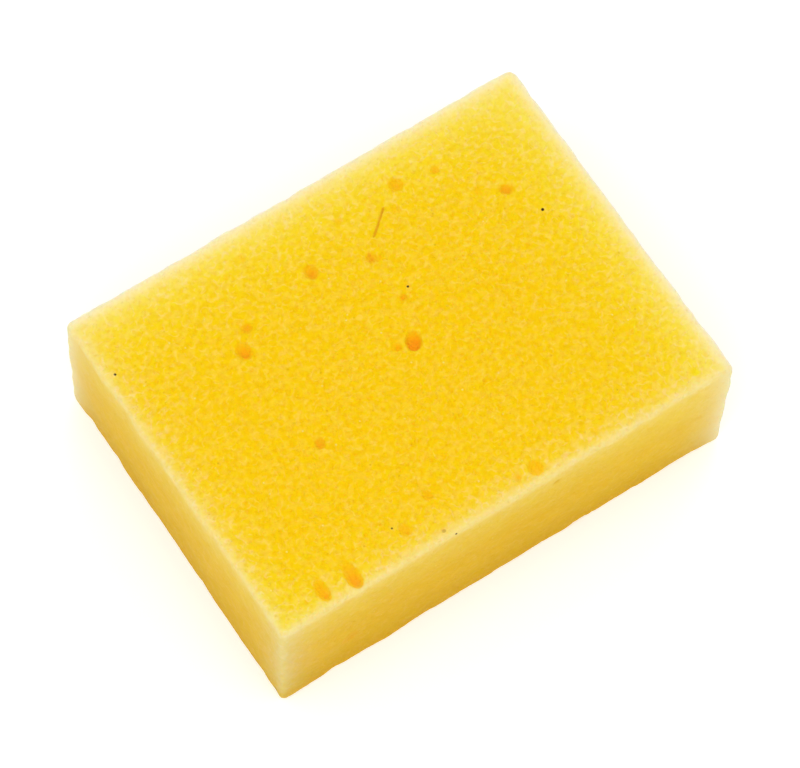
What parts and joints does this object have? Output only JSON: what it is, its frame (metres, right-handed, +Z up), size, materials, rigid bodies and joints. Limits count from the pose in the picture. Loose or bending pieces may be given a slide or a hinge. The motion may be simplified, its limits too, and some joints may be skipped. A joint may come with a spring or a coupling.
{
  "type": "foam sponge block",
  "caption": "Rectangular block of soft yellow open-cell foam with open blowholes, held in the hand to wet, wipe and dab surfaces when decorating.",
  "frame": {"origin": "middle of the base face, on the surface that the block rests on", "axes": "+X along the length, +Y across the width, +Z up through the thickness"},
  "size_m": [0.15, 0.112, 0.05],
  "materials": {
    "foam": "matte, dry open-cell polyurethane foam"
  },
  "bodies": {
    "root": {"foam_block": "foam"}
  },
  "joints": []
}
